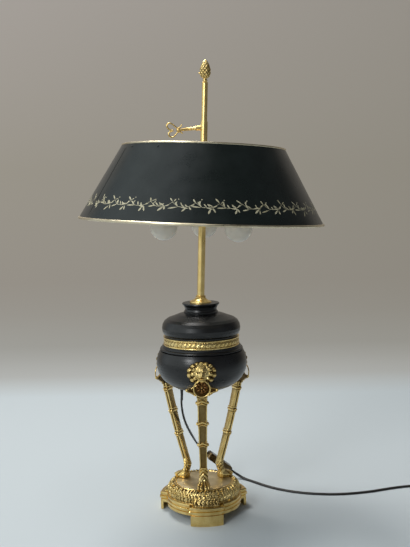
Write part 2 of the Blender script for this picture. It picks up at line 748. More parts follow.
# %% [markdown]
# The lapped seam is a strip of the same sheet that stands a third of a millimetre proud. A
# small dark rivet sits beside it near the top. The strip is a patch on the cone: a grid in
# azimuth and slope whose borders dip into the sheet, so that no gap shows.


# %% Seam and rivet
def strip(azimuths, downs, lift):
    """A patch between two azimuths and two slope distances. Its border lies under the paint."""
    across = np.array([0, 0.02, 0.5, 0.98, 1.0])[None, :]
    along_it = np.linspace(0, 1, 12)[:, None]
    azimuth = azimuths[0] + (azimuths[1] - azimuths[0]) * across
    down = downs[0] + (downs[1] - downs[0]) * along_it
    border = (across == 0) | (across == 1) | (along_it == 0) | (along_it == 1)
    return cone_point(azimuth, down, np.where(border, -0.2, lift))


# Azimuths of the seam's two edges. Azimuth, distance down the slope and lift of the rivet
SEAM_AT = (-64.5, -61.9)
RIVET_AT = (-54.0, 6.0, 0.2)
seam = strip(SEAM_AT, (1.5, SHADE_SLOPE - 1.5), 0.35)
make_piece("shade_seam", "shade", [PAINT], [Sheet(seam, (False, False))], SHADE,
           closed=False, sharp=30)
make_piece(
    "seam_rivet", "shade", [PLASTIC],
    [Sheet(ball((0, 0, 0), 1.7) * [1, 1, 0.5] + cone_point(*RIVET_AT))], SHADE,
)

# %% [markdown]
# A garland of narrow leaves is painted round the lower part: a traditional sprig pattern,
# cream on black. It repeats about every 34 mm. Hand painting is never quite regular, so each
# leaf's angle and length vary a little, from a fixed seed. A leaf is a flat patch on the cone
# of six rows and two columns, as wide as a sine that leans towards the tip.

# %% Garland
CREAM = patina("garland_cream", (0.50, 0.46, 0.31), (0.34, 0.30, 0.17), 0.45, 0.004)
REPEATS = 34
GARLAND_DOWN = 102.6
GARLAND_START = 8.0
PAINT_LIFT = np.array([0.03, 0.1, 0.03])
# Leaves of one repeat: along the band, up, direction in degrees, length, width
UPPER_LEAVES = [
    (0, 0, 123, 9.6, 2.3), (1.3, 0.4, 46, 6.4, 1.5), (7.2, 4.1, 70, 1.8, 1.9), (8.6, -6.8, 114, 9.6, 2.4),
    (9.4, -6.6, 190, 13.0, 2.2), (15.0, -6.6, 130, 6.8, 1.9), (4.6, -3.4, 62, 6.0, 1.7),
]
LOWER_LEAVES = [
    (14.6, -6.8, 4, 10.4, 2.1), (23.2, -7.6, 228, 9.8, 2.7), (24.6, -6.8, 283, 7.8, 2.5),
    (25.2, -6.0, 40, 7.0, 2.0), (24.4, -6.2, 150, 7.4, 1.9), (19.8, -6.2, 118, 6.2, 1.8),
]
# The painted stem: its line along and up the band, and how far its three columns lie aside
STEM_WAVE = [(-3, -1.8), (0, 0.2), (4, -3.0), (9, -6.4), (15, -6.9), (21, -6.6), (26, -5.2),
             (31.5, -1.6)]
STEM_SIDE = np.array([-0.32, 0, 0.32])
GARLAND_R = SHADE_TOP[0] + GARLAND_DOWN * math.sin(SLANT)


def on_band(azimuth, u, v, lift):
    """Millimetres along and up the band, from an azimuth, as points on the cone."""
    return cone_point(azimuth + np.degrees(u / GARLAND_R), GARLAND_DOWN - v, lift)


def leaf_patches(azimuth, leaves):
    """Leaves as an array of small grids: length t from 0 to 1, side s from -1 to 1. The half
    width is half the leaf's width times sine(pi t^1.4)^0.8."""
    t = np.linspace(0, 1, 7)[None, :, None]
    s = np.array([-1, 0, 1])[None, None, :]
    u, v, turn, length, width = (leaves[:, k, None, None] for k in range(5))
    turn = np.radians(turn)
    half = s * width / 2 * np.sin(math.pi * t**1.4) ** 0.8
    across = u + length * t * np.cos(turn) - half * np.sin(turn)
    up = v + length * t * np.sin(turn) + half * np.cos(turn)
    return on_band(azimuth[:, None, None], across, up, PAINT_LIFT)


rng = np.random.default_rng(7)
centres = GARLAND_START + 360 / REPEATS * np.arange(REPEATS)
shifted = centres + 0.6 * np.sin(np.radians(5 * centres))
patches = []
for group, starts in ((UPPER_LEAVES, centres), (LOWER_LEAVES, shifted)):
    leaves = np.tile(np.array(group, float), (REPEATS, 1))
    leaves[:, :2] += rng.uniform(-1.3, 1.3, (len(leaves), 2))
    leaves[:, 2] += rng.uniform(-20, 20, len(leaves))
    leaves[:, 3] *= rng.uniform(0.8, 1.25, len(leaves))
    leaves[:, 4] *= rng.uniform(0.8, 1.1, len(leaves))
    patches.append(leaf_patches(np.repeat(starts, len(group)), leaves))
wave = smooth_line(STEM_WAVE, 3)
patches.append(on_band(centres[:, None, None], wave[:, :1], wave[:, 1:] + STEM_SIDE, PAINT_LIFT))
painted = [Sheet(patch, (False, False), flip=True) for group in patches for patch in group]
make_piece("garland", "shade", [CREAM], painted, SHADE, closed=False)

# %% [markdown]
# The finial is a cast pine cone on a small turned knop. Real cone scales sit on two families
# of spirals that cross. So each point counts its way along both spirals, and the nearer it is
# to a spiral's edge, the deeper it lies: that gives a net of creases round plump scales. One
# small bud stands out at its side.

# %% Pine-cone finial
ROD_TOP = FINIAL_PIVOT - 6
CONE_R = 9.2
CONE_FOOT = 7.4
CONE_H = 38 - CONE_FOOT
SCALES_ROUND = 8
SCALE_ROWS = 9


def pine_cone(rows=90, count=128):
    """Radius: cone radius times sine(pi t^0.66)^0.6, less the creases. t runs up the cone."""
    t = (1 - np.cos(math.pi * np.linspace(0, 1, rows)[:, None])) / 2
    round_it = np.arange(count)[None, :] / count * SCALES_ROUND
    climb = SCALE_ROWS * t**0.85 / 2
    to_edge = [1 - np.abs(2 * np.mod(way, 1) - 1) for way in (round_it + climb, climb - round_it)]
    scale = np.minimum(*to_edge)
    shape = np.sin(math.pi * t**0.66) ** 0.6
    radius = shape * (CONE_R - 1.5 + 1.9 * np.clip(scale, 0, 0.75) ** 0.55)
    points = polar(radius, circle(count)[None, :], ROD_TOP + CONE_FOOT + CONE_H * t)
    return Sheet(points, hollow=np.clip(1 - 2.2 * scale, 0, 1) * shape)


KNOP = [(0, 0.05), (5.0, 0.05), (5.25, 0.6), (5.1, 1.2), (3.4, 2.0), (3.3, 2.6), (3.9, 3.2), (4.2, 4.2),
        (3.9, 5.4), (3.0, 6.6), (2.9, 7.2), (3.5, 8.0), (3.6, 8.8), (0, 9)]
finial = make_piece(
    "pine_cone", "finial", [GILT],
    [pine_cone(), Sheet(turned(KNOP, 48) + [0, 0, ROD_TOP]),
     Sheet(ball((-CONE_R - 0.2, 0, ROD_TOP + 16), 1.5))], STEM,
)
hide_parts("finial")

# %% [markdown]
# Masks have to follow the urn's bowl. Its side is two ellipses that meet at the widest ring, so
# the radius is a function of the height, and from it comes the skin in front of any point.

# %% The bowl's skin
BELLY_R, BELLY_Z = round(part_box("urn_bowl")[1][0] / MM, 2), 257
BOWL_FOOT_R, BELLY_DEEP = 20, BELLY_Z - foot_of("urn_bowl")
BOWL_RIM_R, BELLY_TALL = 60.21, 29.9
MASK_Z = 256


def bowl_out(z):
    """Radius of the urn's skin: an ellipse below the widest ring, another above it."""
    rest = np.where(z <= BELLY_Z, BOWL_FOOT_R, BOWL_RIM_R)
    reach = np.where(z <= BELLY_Z, BELLY_DEEP, BELLY_TALL)
    return rest + (BELLY_R - rest) * np.sqrt(np.clip(1 - ((z - BELLY_Z) / reach) ** 2, 0, 1))


def skin(x, z):
    """How far in front of the lamp's axis the bowl's skin lies, x across and at height z."""
    return np.sqrt(bowl_out(z) ** 2 - x**2)


print("behind the masks the bowl is", round(2 * float(bowl_out(MASK_Z)), 1), "mm across")

# %% [markdown]
# Three lion masks hold the mouth rings. Each is a thin casting that hugs the bowl: a smooth
# forehead and muzzle, small deep eyes, and a mane in two rows of knobbly locks. It is a
# height over the bowl's skin, on a grid of directions round its middle and of fractions of
# the way to its edge. Hills and hollows are bell curves, added together. Wherever a crease
# is cut, the "hollow" number rises too, so that the gilding darkens there. The same casting is
# used three times, once over each leg.

# %% The lion masks
ROSETTE_Z = 232
MASK_W = 47.5
MASK_H = 38
NOTCH_R = 10.3
# Rows of locks: middle and width as fractions of the way out, count, turn in radians
INNER_LOCKS = (0.64, 0.14, 11, 0.8)
OUTER_LOCKS = (0.88, 0.13, 14, math.pi / 2)
# Hills of the face: how high, place across and up, half widths. Off the middle they are pairs
FACE = [
    (2.8, 0, -1, 11, 13), (2.8, 0, 6.5, 7, 4.5), (-0.7, 0, 7, 1.1, 4), (1.5, 4.4, 3.4, 3.0, 1.2),
    (-1.9, 4.5, 0.8, 2.3, 1.5), (1.2, 4.5, 0.7, 1.2, 0.9), (1.9, 0, -1.5, 2.0, 4.5),
    (3.6, 0, -6.2, 5.2, 4), (1.5, 2.8, -6.8, 2.1, 1.8), (1.3, 0, -4.2, 2.3, 1.2),
    (1.5, 0, -11.2, 3.2, 1.7), (1.5, 8, -3.2, 2.6, 4), (2.0, 11, 9, 2.3, 2.4), (-1.5, 11, 8.6, 1.1, 1.3),
]
EYE_SOCKET, EYEBALL = (2.3, 1.5), (0.7, 0.5)


def mask_edge(a):
    """Reach of the mask in direction a: an oval with 14 scallops, notched round the rosette."""
    scallops = 0.97 + 0.06 * np.abs(np.sin(7 * a))
    oval = scallops / np.hypot(2 * np.cos(a) / MASK_W, 2 * np.sin(a) / MASK_H)
    oval = oval * (1 - 0.08 * np.clip(np.sin(a), 0, 1))
    drop = MASK_Z - ROSETTE_Z
    across = drop * np.cos(a)
    notch = -drop * np.sin(a) - np.sqrt(np.clip(NOTCH_R**2 - across**2, 0, None))
    return np.where((np.sin(a) < 0) & (np.abs(across) < NOTCH_R), np.minimum(oval, notch), oval)


def locks(q, a, middle, width, count, turn):
    """One row of locks: a ridge at one fraction of the way out, cut by creases. Returns the
    row's height and its creases, both from 0 to 1."""
    ridge = np.exp(-(((q - middle) / width) ** 4))
    lobe = np.abs(np.cos(count * a / 2 + turn)) ** 0.8
    return ridge * lobe, ridge * (1 - lobe)


def lion(x, v, q, a):
    """Height of the mask over the skin, and how hollow each point is."""
    face = 1 - step(0.8, 1.08, np.hypot(x / 12.2, (v - 1.4) / 15.4))
    inner, inner_crease = locks(q, a, *INNER_LOCKS)
    outer, outer_crease = locks(q, a, *OUTER_LOCKS)
    mouth = bell(v - 0.04 * x**2, -9.0, 0.7) * bell(x, 0, 4.6)
    aside = np.abs(x)
    height = 1.7 + 2.2 * (1 - q**2) + (1 - face) * (2.6 * inner + 3.3 * outer) - 1.7 * mouth
    for high, across, up, wide, tall in FACE:
        height = height + high * hill(aside, v, (across, up), (wide, tall))
    hollow = (1 - face) * (1.2 * inner_crease + 1.3 * outer_crease) + mouth + 0.22 * face
    hollow += 0.7 * (1 - face) * (1 - step(0, 0.07, np.abs(q - 0.75))) + 0.9 * step(0.95, 1, q)
    hollow += 0.9 * hill(aside, v, (4.5, 0.8), EYE_SOCKET) - 1.2 * hill(aside, v, (4.5, 0.7), EYEBALL)
    return height, np.clip(hollow, 0, 1)


def mask_sheet(rows=72, count=240):
    """The whole mask: front rows, an edge that runs into the skin, and a closed back."""
    q = np.concatenate([np.linspace(0, 1, rows), [1, 1, 0]])[:, None]
    a = circle(count)[None, :]
    x = q * mask_edge(a) * np.cos(a)
    v = q * mask_edge(a) * np.sin(a)
    height, hollow = lion(x, v, q, a)
    height[-3] = 0.3
    outward = skin(x, MASK_Z + np.maximum(v, -6)) + height
    outward[-2:] = skin(x, MASK_Z + v)[-2:] - 0.6
    hollow[-3:] = 1
    return grid(x, -outward, MASK_Z + v), hollow


mask_points, mask_hollow = mask_sheet()
for side, turn in LEG_TURNS.items():
    mask = make_piece("lion_" + side, "stand", [CHASED],
                      [Sheet(mask_points, hollow=mask_hollow)], at_leg(turn))
    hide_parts("mask_" + side)

# %% [markdown]
# Each leg is a tapering flat shaft with a sunk panel in front and a groove along each side.
# Three banded knots cross it, and it ends in a lion's paw. The shaft is a loft: one drawn
# section, set out from the leg's edge, carried from the hock to the urn as the leg widens.
# Faces that meet at more than 38 degrees are kept crisp, as on chased metal.

# %% The leg's way and its shaft
PLATFORM_Z = top_of("base_platform")
HOCK_R, HOCK_Z = 31.5, 78
LEG_TOP_R, LEG_TOP_Z = 71.5, 216
HALF_THICK = 4.0
KNOTS = (0.92, 0.65, 0.37)
# Section from the back's middle to the front's middle: inset from the side, depth, hollow
LEG_SECTION = [
    (1.2, -4.0, 0.2), (0.3, -3.7, 0), (0, -2.9, 0), (0, -1.5, 0), (0.9, -1.0, 0.9), (0.9, 0.9, 0.9),
    (0, 1.4, 0), (0, 3.2, 0), (0.4, 3.8, 0), (1.0, 4.0, 0), (1.9, 4.0, 0), (2.6, 3.1, 1.0),
    (3.6, 3.0, 0.78),
]


def leg_way(f):
    """Radius, height and half width of the leg, with f from 0 at the hock to 1 at the top."""
    radius = HOCK_R + (LEG_TOP_R - HOCK_R) * f + 8 * f * (1 - f)
    return radius, HOCK_Z + (LEG_TOP_Z - HOCK_Z) * f, 6 + 2.1 * f


def leg_shaft(rows=90):
    """Loft of the section along the way. Its ends are closed to a point."""
    f = np.linspace(-0.02, 1, rows)[:, None]
    radius, height, half = leg_way(f)
    inset, depth, dark = (np.array(column) for column in zip(*LEG_SECTION))
    x = np.concatenate([half - inset, 0 * f, inset[::-1] - half, 0 * f], 1)
    depth = np.concatenate([depth, [3.15], depth[::-1], [-HALF_THICK]])
    dark = np.concatenate([dark, [0.76], dark[::-1], [0.2]])
    for knot in KNOTS:
        dark = np.maximum(dark, 0.75 * bell(height, leg_way(knot)[1], 4.5))
    return closed_sheet(grid(x, -(radius + depth), height), dark)


print("a leg's shaft has", leg_shaft().hollow.size, "points")

# %% [markdown]
# A knot is a moulded band that climbs to a peak in front, like an inverted V, with a thinner
# band above it, another below, and beads at its corners. Each is a small profile carried round
# the shaft's rounded rectangle, and lifted by how near a point is to the middle of the front.


# %% Knots
KNOT_BAND = [(-1.5, -1.7), (0.4, -1.7), (1.1, -1.1), (1.3, 0), (1.1, 1.1), (0.4, 1.7), (-1.5, 1.7)]


def superellipse(angle, power):
    """Cosine and sine of an angle, each to a power that keeps its sign: 1 is round, 0 square."""
    return [np.sign(wave) * np.abs(wave) ** power for wave in (np.cos(angle), np.sin(angle))]


def shaft_band(f, size, rise, peak):
    """A band round the shaft at f: profile scaled by size, rise above, peak in front."""
    radius, height, half = leg_way(f)
    across, front = superellipse(circle(64)[None, :], 0.35)
    out = np.array([o * size if o > 0 else o for o, _ in KNOT_BAND])[:, None]
    level = np.array([h * size for _, h in KNOT_BAND])[:, None]
    lift = peak * (1 - np.abs(across)) * (front > 0)
    depth = radius + front * (HALF_THICK + out)
    return grid(across * (half + out), -depth, height + rise + level + lift)


def knot_sheets(f):
    """Three bands of the knot at f, and two beads at each side."""
    radius, height, half = leg_way(f)
    beads = [
        Sheet(ball((side * (half + 1.0), -radius - depth, height + 0.4), size))
        for side in (-1, 1) for depth, size in ((2.2, 2.3), (-2.6, 1.9))
    ]
    bands = ((1.05, 0.0, 3.4), (0.6, 4.6, 3.8), (0.45, -3.6, 2.6))
    return [Sheet(shaft_band(f, *band)) for band in bands] + beads


knots = [sheet for knot in KNOTS for sheet in knot_sheets(knot)]
print("a leg's knots are", len(knots), "bands and beads")

# %% [markdown]
# The paw is a stack of rounded outlines that shift forwards and swell towards the floor. At
# the front, grooves part four toes; higher up, the same rings carry a tuft of hair. Each
# outline is a superellipse, so it can pass from a block-like foot to the squarer shaft.


# %% Paw
# Height over the platform, centre's radius, half length, half width, toes, hair
PAW_LEVELS = [
    (0.0, 42.0, 12.0, 9.8, 0.9, 0), (0.8, 42.3, 13.0, 10.6, 1, 0), (2.5, 42.6, 13.5, 11.0, 1, 0),
    (4.8, 42.4, 13.2, 11.0, 1, 0), (7.0, 41.2, 11.8, 10.4, 1, 0), (9.0, 39.4, 9.6, 9.4, 0.9, 0),
    (10.8, 37.4, 7.6, 8.3, 0.6, 0.2), (12.6, 35.8, 6.1, 7.4, 0.25, 0.6), (14.6, 34.3, 5.1, 6.8, 0, 1.0),
    (17.0, 33.0, 4.6, 6.4, 0, 1.0), (20.5, 32.2, 4.5, 6.5, 0, 1.0), (24.0, 31.8, 4.6, 6.7, 0, 0.9),
    (27.5, 32.4, 4.5, 6.8, 0, 0.8), (31.0, 33.6, 4.3, 6.6, 0, 0.5), (34.0, 34.7, 3.6, 6.0, 0, 0),
]
TOES = np.radians([-50, -17, 17, 50])
GROOVES = np.radians([-70, -34, 0, 34, 70])


def paw_sheet(count=128):
    """Smooth stack of outlines. Angle 0 points forwards, and the exponent squares the outline."""
    level = smooth_line(PAW_LEVELS, 5)
    z, centre, long, wide, toes, hair = (level[:, k, None] for k in range(6))
    angle = (circle(count) - math.pi)[None, :]
    forward, sideways = superellipse(angle, 0.8)
    groove = sum(bell(angle, g, 0.1) for g in GROOVES)
    knuckle = sum(bell(angle, t, 0.2) for t in TOES) * bell(z, 6.0, 2.4)
    tuft = np.abs(np.sin(3.0 * np.abs(angle) + 0.5 * z)) ** 0.6
    push = -2.4 * toes * groove + 1.5 * knuckle * toes + hair * (1.9 * tuft - 0.8)
    out = centre + (long + push) * forward
    points = grid((wide + push) * sideways, -out, PLATFORM_Z + z)
    return closed_sheet(points, np.clip(toes * groove + hair * (1 - tuft) * 1.1, 0, 1))


def claws():
    """A small bent cone at each toe: circles that shrink along a short path."""
    for toe in TOES:
        out = np.array([math.sin(toe), -math.cos(toe)])
        foot = np.array([11.0 * math.sin(toe), -42.4 - 13.1 * math.cos(toe)])
        t = np.linspace(0, 1, 6)[:, None]
        path = np.concatenate([foot + out * (2.4 * t - 1.2), PLATFORM_Z + 3.4 - 2.6 * t**2], 1)
        yield wire(path, 1.25 - 0.95 * t[:, 0], (0, 0, 1), 10)


print("a paw is drawn from", len(PAW_LEVELS), "outlines and has", len(TOES), "toes")

# %% [markdown]
# At the top a winged plate carries the rosette. Its wings are scrolls that end in buds. The
# plate is a grid round one inner point: from there every point of its outline can be seen, so
# a direction and a fraction of the way out are enough. Its rim stands proud of its field.


# %% Winged plate and scrolls
PLATE_R = 72
PLATE_T = 4.5
WING_SIDE = [(0, -18.0), (8.1, -18), (9.6, -13.5), (15, -12), (20, -8.5), (25, -6.5), (26, -4),
             (23.5, -2), (18, -1.2), (14, 1.5), (9, 4), (7.1, 7.1), (3.8, 9.3), (0, 10)]
WING_EYE = (0, -6)
SCROLL = [(8.5, -10.5, 4.2), (13, -9.8, 4.8), (18, -7.8, 5.0), (22.4, -6.6, 5.0), (25.2, -5.0, 5.0),
          (25.0, -2.9, 5.0), (22.9, -2.7, 5.0), (22.6, -4.2, 5.3)]


def on_plate(x, v, h):
    """Across, up and out from the plate's back, in the leg's frame."""
    return grid(x, -(PLATE_R + h), ROSETTE_Z + v)


def wing_plate(count=160):
    """Fractions of the outline's reach, with a height for each: field, raised rim, edge, back."""
    half = smooth_line(WING_SIDE, 8)
    outline = np.concatenate([half, (half * [-1, 1])[::-1]]) - WING_EYE
    reach_at = np.arctan2(outline[:, 1], outline[:, 0])
    order = np.argsort(reach_at)
    angle = (circle(count) - math.pi)[None, :]
    reach = np.interp(angle, reach_at[order], np.hypot(*outline[order].T), period=2 * math.pi)
    q = np.array([0, 0.4, 0.7, 0.82, 0.87, 0.93, 0.98, 1, 1, 0])[:, None]
    h = np.array([3.8, 3.8, 3.7, 3.6, 4.5, 4.7, 4.4, 3.6, 0, 0])[:, None]
    x = q * reach * np.cos(angle) + WING_EYE[0]
    v = q * reach * np.sin(angle) + WING_EYE[1]
    dark = np.array([1, 1, 1, 1, 0.7, 0.2, 0.1, 0.6, 0.9, 0.9])[:, None]
    return Sheet(on_plate(x, v, h), hollow=dark)


def scrolls():
    """On both sides a wire that curls up along the wing, a bud in its curl, and one below."""
    path = smooth_line(SCROLL, 6)
    for side in (-1, 1):
        way = on_plate(side * path[:, 0], path[:, 1], path[:, 2])
        yield wire(way, np.linspace(1.5, 0.8, len(way)), (0, 1, 0), 12, hollow=0.45)
        yield Sheet(ball((side * 24.4, -PLATE_R - 4.6, ROSETTE_Z - 4.3), 2.3))
        yield Sheet(ball((side * 11.5, -PLATE_R - 4.2, ROSETTE_Z - 12.6), 1.7))


print("the winged plate is", 2 * max(x for x, _ in WING_SIDE), "mm across")

# %% [markdown]
# A short round boss behind the plate meets the urn. Shaft, knots, paw, claws, plate, scrolls
# and boss are one casting, so they make one piece, and it stands three times.

# %% The whole leg
BOSS = [(0, 0), (6, 0), (6, 15), (0, 15)]
BOSS_AT = Place((0, -58, ROSETTE_Z), (0, -1, 0))
boss = Sheet(BOSS_AT.out(turned(BOSS, 32)))
leg_sheets = [leg_shaft(), paw_sheet(), wing_plate(), boss, *claws(), *scrolls(), *knots]
for side, turn in LEG_TURNS.items():
    leg = make_piece("leg_cast_" + side, "stand", [GILT], leg_sheets, at_leg(turn),
                     sharp=38)
    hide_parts("leg_" + side)

# %% [markdown]
# A dark turned rosette covers each screw that ties leg to urn. Eight petals are cut into it,
# and its button is left bright. Height over radius and angle is all it needs.


# %% Rosettes
def rosette_sheet(rows=28, count=128):
    """Petals: a bulge of 2.1 mm cut into eight. Button and border ring: bell curves."""
    r = np.concatenate([np.linspace(0, 9.5, rows), [9.5, 0]])[:, None]
    a = circle(count)[None, :]
    petal = np.abs(np.cos(4 * a)) ** 0.5
    bulge = np.sin(math.pi * np.clip((r - 2.4) / 7.6, 0, 1)) ** 0.7
    height = 0.9 + 2.1 * bulge * petal + 3.6 * bell(r, 0, 1.9) + 0.5 * bell(r, 8.9, 0.5)
    height[-2:] = 0
    button = (r < 2.0) & (np.arange(len(r))[:, None] < rows)
    dark = np.clip((1 - petal) * bulge * 1.4 + bell(r, 2.7, 0.6), 0, 1)
    return on_plate(r * np.cos(a), r * np.sin(a), PLATE_T + height), dark, button


rosette_points, rosette_dark, rosette_finish = rosette_sheet()
rosettes = make_piece(
    "rosettes", "stand", [ROSETTE, GILT],
    [Sheet(at_leg(turn).out(rosette_points), hollow=rosette_dark, finish=rosette_finish)
     for turn in LEG_TURNS.values()],
)
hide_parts("rosette_screws")

# %% [markdown]
# The base has a bulging frieze of small leaves round a plain brushed disc. The frieze is a
# lathe-turned curve whose points are pushed out by three tiers of leaves, and by a row of
# beads at their foot. In each tier one coordinate runs across a leaf and the other up it:
# the leaf's edge is cut into lobes by a wave, veins fan out from its rib, and its tip curls
# out. Between the leaves the gilding stays dark.

# %% Platform and its frieze
LEAVES = 62
BASE_TURN = 4
OVER_BLOCK_R = 66
RUN_OUT = 10.5
FOOT_Z = foot_of("base_platform") + 0.02
# Tiers of leaves: from and to as fractions of the way up, shift in leaves, sideways bend
TIERS = [(0.11, 0.42, 0.0, 0.2), (0.33, 0.66, 0.5, -0.2), (0.56, 0.88, 0.0, 0.2)]
FRIEZE_PROFILE = [(60, 31), (59.3, 31.8), (59.7, 34.5), (60, 38), (59.2, 43), (56.8, 47.4),
                  (53.4, 49.9), (50.6, 51), (49.3, 51.5), (48.8, 51.9), (48.3, PLATFORM_Z)]


def leaf_tier(turns, s, low, high, shift, sway):
    """Relief of one tier of leaves from height low to high, and how much of it is leaf.
    turns counts the leaves round the frieze, and sway bends each leaf sideways."""
    t = np.clip((s - low) / (high - low), 0, 1)
    across = np.mod(turns + shift + sway * np.sin(1.5 * math.pi * t), 1) * 2 - 1
    half = np.sin(math.pi * t**0.75) ** 0.6 * (0.72 + 0.28 * np.abs(np.cos(2.5 * math.pi * t)))
    inside = 1 - step(0.7, 1.05, np.abs(across) / np.clip(half, 0.05, 1))
    veins = np.abs(np.sin(math.pi * (3 * t - 1.2 * np.abs(across)))) ** 0.7
    rib = bell(across, 0, 0.2)
    relief = inside * (0.4 + 1.5 * t**1.5 + 0.9 * veins * (1 - rib) + 0.7 * rib)
    return relief, inside * (0.35 + 0.65 * np.maximum(veins, rib))


def over_blocks(angle):
    """1 over the three blocks that stand out from the plinth. It falls to 0 between 19 and 25 mm
    from a block's middle."""
    aside = [angle + math.pi / 2 - math.radians(turn + BASE_TURN) for turn in LEG_TURNS.values()]
    beside = [np.abs(OVER_BLOCK_R * np.sin(a)) for a in aside]
    return sum((1 - step(19, 25, b)) * (np.cos(a) > 0) for a, b in zip(aside, beside))


def frieze(rows=74, count=LEAVES * 15):
    """The curve pushed out along its own normal by the leaves. Over the blocks its lower half
    runs out to cover them. The run-out falls with the height s as (1 - s / 0.45)^1.5."""
    profile = smooth_line(FRIEZE_PROFILE, 8)
    run = along(profile)[1]
    s = np.linspace(0, 1, rows)[:, None]
    base = np.stack([np.interp(s[:, 0] * run[-1], run, profile[:, k]) for k in (0, 1)], -1)
    tangent = along(base)[0]
    turns = (np.arange(count) / count * LEAVES)[None, :]
    turns = turns + 0.16 * np.sin(turns * 1.3) + 0.1 * np.sin(turns * 3.7 + 1)
    bead = hill(np.mod(2 * turns, 1) - 0.5, s, (0, 0.075), (0.28, 0.03))
    tiers = [leaf_tier(turns, s, *tier) for tier in TIERS] + [(bead, bead)]
    relief, leafy = (np.maximum.reduce(part) for part in zip(*tiers))
    band = step(0.02, 0.05, s) * (1 - step(0.86, 0.9, s))
    angle = circle(count)[None, :]
    radius = base[:, :1] + tangent[:, 1:] * relief * band
    radius = radius + RUN_OUT * over_blocks(angle) * np.clip(1 - s / 0.45, 0, 1) ** 1.5
    height = base[:, 1:] - tangent[:, :1] * relief * band
    return polar(radius, angle, height), np.clip(1.25 - 1.35 * leafy, 0, 1) * band


frieze_points, frieze_hollow = frieze()
columns = frieze_points.shape[1]
DISC = [(48.3, 0), (48.0, 0.15), (47.4, 0.0), (46.9, -0.3), (46.3, -0.3), (45.8, 0), (30, 0), (0, 0)]
disc_points = turned(DISC, columns) + [0, 0, PLATFORM_Z]
disc_points[0] = frieze_points[-1]
foot_points = turned([(0, FOOT_Z), (60, FOOT_Z), (60, FOOT_Z)], columns)
foot_points[-1] = frieze_points[0]
brushed_rows = np.arange(len(DISC))[:, None] >= 4
platform_sheets = [Sheet(foot_points), Sheet(frieze_points, hollow=frieze_hollow),
                   Sheet(disc_points, finish=brushed_rows)]
platform = make_piece("platform", "stand", [CHASED, BRUSHED], platform_sheets, sharp=60)
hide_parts("base_platform")

# %% [markdown]
# The plinth's mouldings return along the sides of its three blocks. Each return is a short
# post: the moulding's profile, drawn as the inset of five corners at every height.


# %% Mouldings beside the blocks
MOULD = [(3, 18.0), (0.2, 18.4), (1.6, 19.8), (-1.4, 21), (-1.4, 24.2), (0.8, 25.2), (0.8, 26.6),
         (-0.4, 27.6), (-0.4, 29.6), (1, 30.98), (3, 30.99)]
BLOCK_R, BLOCK_HALF = 75, 27
RETURN_START = 56


def moulding_return(side):
    """Corners at each height: against the block, out from it, and round its front corner. The
    foot closes to a point, and the top lies open under the platform."""
    inset, z = np.array(MOULD).T
    near = np.full(len(MOULD), BLOCK_HALF - 1)
    far = np.maximum(BLOCK_HALF + 1.7 - inset, near + 0.1)
    rim = BLOCK_R + 0.1 - inset
    front = np.sqrt(rim**2 - far**2)
    start = np.full(len(MOULD), RETURN_START)
    x = np.stack([near, far, far, far - 0.5, near], -1)
    depth = np.stack([start, start, front - 0.5, front, np.sqrt(rim**2 - near**2)], -1)
    return ends_closed(grid(side * x, -depth, z[:, None]))[:-1]


returns = [
    Sheet(at_leg(turn + BASE_TURN).out(moulding_return(side)))
    for turn in LEG_TURNS.values() for side in (-1, 1)
]
make_piece("moulding_returns", "stand", [GILT], returns, sharp=30)

# %% [markdown]
# The gilt band between bowl and cover is a frieze of the same kind, only flatter: small
# upright leaves under a beaded edge. The same idea serves: a cylinder pushed out by a wave.


# %% Urn band
LEAF_BAND_R = 62.6
LEAF_BAND_Z, LEAF_BAND_TALL = 292.4, 8.7
BAND_LEAVES = 48
BOWL_TOP, COVER_FOOT = top_of("urn_bowl"), foot_of("urn_cover")
LOW_EDGE = [(59.45, BOWL_TOP), (64.1, BOWL_TOP), (64.3, 290.9), (64.1, 291.8), (63.0, LEAF_BAND_Z)]
TOP_EDGE = [(63.0, 301.1), (63.9, 301.7), (64.1, 302.6), (63.9, COVER_FOOT), (59.45, COVER_FOOT),
            (59.45, BOWL_TOP)]


def band_relief(rows=30, count=BAND_LEAVES * 16):
    """Leaves: cosine(pi/2 across)^0.6, times a sine of the height s; over them a row of beads."""
    s = np.linspace(0, 1, rows)[:, None]
    phase = (np.arange(count) / count * BAND_LEAVES)[None, :]
    across = np.mod(phase + 0.18 * np.sin(2 * math.pi * s), 1) * 2 - 1
    upright = np.clip(np.sin(math.pi * np.clip(s / 0.8, 0, 1)), 0, 1) ** 0.5
    leaf = np.clip(np.cos(math.pi * across / 2), 0, 1) ** 0.6 * upright
    vein = 0.35 * np.abs(np.sin(3 * math.pi * (s + 0.35 * np.abs(across))))
    bead = hill(np.abs(np.mod(2 * phase, 1) - 0.5) * 2, s, (0, 0.9), (0.55, 0.055))
    radius = LEAF_BAND_R + leaf * (1 - vein) + 0.9 * bead
    hollow = np.clip(0.85 - 1.4 * leaf * (1 - 0.8 * vein) - 1.6 * bead, 0, 1)
    return polar(radius, circle(count)[None, :], LEAF_BAND_Z + LEAF_BAND_TALL * s), hollow


band_points, band_hollow = band_relief()
low_edge, top_edge = (turned(edge, band_points.shape[1]) for edge in (LOW_EDGE, TOP_EDGE))
low_edge[-1] = band_points[0]
top_edge[0] = band_points[-1]
band_piece = make_piece(
    "leaf_band", "stand", [CHASED],
    [Sheet(low_edge), Sheet(band_points, hollow=band_hollow), Sheet(top_edge)], sharp=60,
)
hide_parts("urn_band")

# %% [markdown]
# The stage is a table and a wall that run into each other in one wide curve, so that no
# line stands behind the lamp. The wall stands far enough away to walk round the lamp. The
# table is pale and takes the lamp's shadow. Farther back, where no lamp reaches, the sheet
# has a tone of its own that the camera and shiny metal see and that lights nothing.


